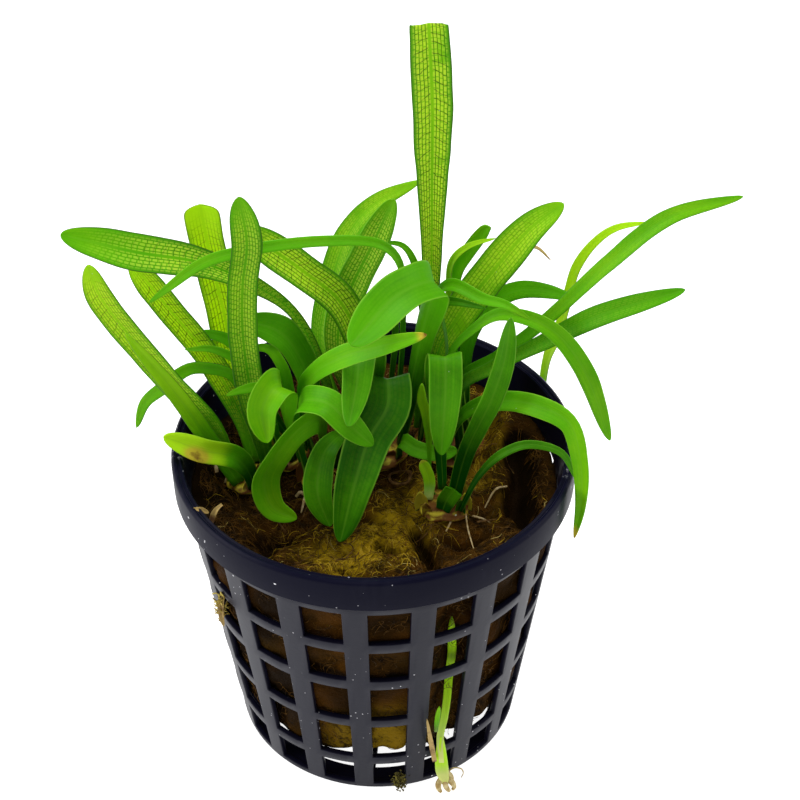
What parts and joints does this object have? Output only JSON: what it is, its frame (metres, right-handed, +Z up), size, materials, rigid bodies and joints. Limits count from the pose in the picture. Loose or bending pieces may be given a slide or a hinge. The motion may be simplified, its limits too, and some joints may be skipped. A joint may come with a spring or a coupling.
{
  "type": "potted dwarf sagittaria",
  "caption": "Dwarf sagittaria with broad strap-shaped leaves, rooted in a plug of mineral wool that fills a dark, tapered net pot.",
  "frame": {"origin": "centre of the pot's foot, on the surface that it stands on", "axes": "+Z up along the pot's axis, -Y towards the front of the pot, +X to its right"},
  "size_m": [0.0862, 0.055, 0.1041],
  "materials": {
    "pot": "satin blue-black moulded plastic with scuffs and white dust",
    "wool": "wet golden-brown mineral wool, fibrous and lumpy",
    "crown": "pale green to brown leaf bases, damp",
    "leaf": "satin green leaf with a fine net of veins, thin enough to let light through",
    "dead": "dry, papery, tan"
  },
  "bodies": {
    "root": {"net_pot": "pot", "wool_plug": "wool", "crown_left": "crown", "crown_front_left": "crown", "crown_front": "crown", "crown_middle": "crown", "crown_right": "crown", "crown_back": "crown", "shoot_crown": "crown", "leaf_left_upright": "leaf", "leaf_left_strap": "leaf", "leaf_yellow_tipped": "leaf", "leaf_left_veined": "leaf", "leaf_left_drooping": "leaf", "leaf_upright_front": "leaf", "leaf_left_edge_on": "leaf", "leaf_left_behind": "leaf", "leaf_blunt": "leaf", "leaf_small_left": "leaf", "leaf_olive_arch": "leaf", "leaf_dark_arch": "leaf", "leaf_curled": "leaf", "leaf_front_left": "leaf", "leaf_front_middle": "leaf", "leaf_hanging_left": "leaf", "leaf_brown_tipped": "leaf", "leaf_broad_left": "leaf", "leaf_diagonal": "leaf", "leaf_light_arch": "leaf", "leaf_back_broad": "leaf", "leaf_long_arch": "leaf", "leaf_top_front": "leaf", "leaf_hanging_small": "leaf", "leaf_front_long": "leaf", "leaf_low": "leaf", "leaf_spoon": "leaf", "leaf_hanging_front": "leaf", "stub_yellow": "leaf", "sheath_right": "leaf", "leaf_right_upright": "leaf", "leaf_right_low_arch": "leaf", "leaf_right_drooping": "leaf", "leaf_right_arch": "leaf", "leaf_grey_green": "leaf", "leaf_shaded": "leaf", "leaf_broad_right": "leaf", "leaf_right_short": "leaf", "leaf_back_light": "leaf", "leaf_back_torn": "leaf", "leaf_tall_torn": "leaf", "leaf_back_thin": "leaf", "leaf_right_long": "leaf", "leaf_right_low": "leaf", "leaf_withered": "dead", "leaf_back_edge": "leaf", "leaf_outside_right": "leaf", "shoot_leaf": "leaf", "shoot_small_leaf": "leaf", "shoot_sheath": "dead"}
  },
  "joints": []
}
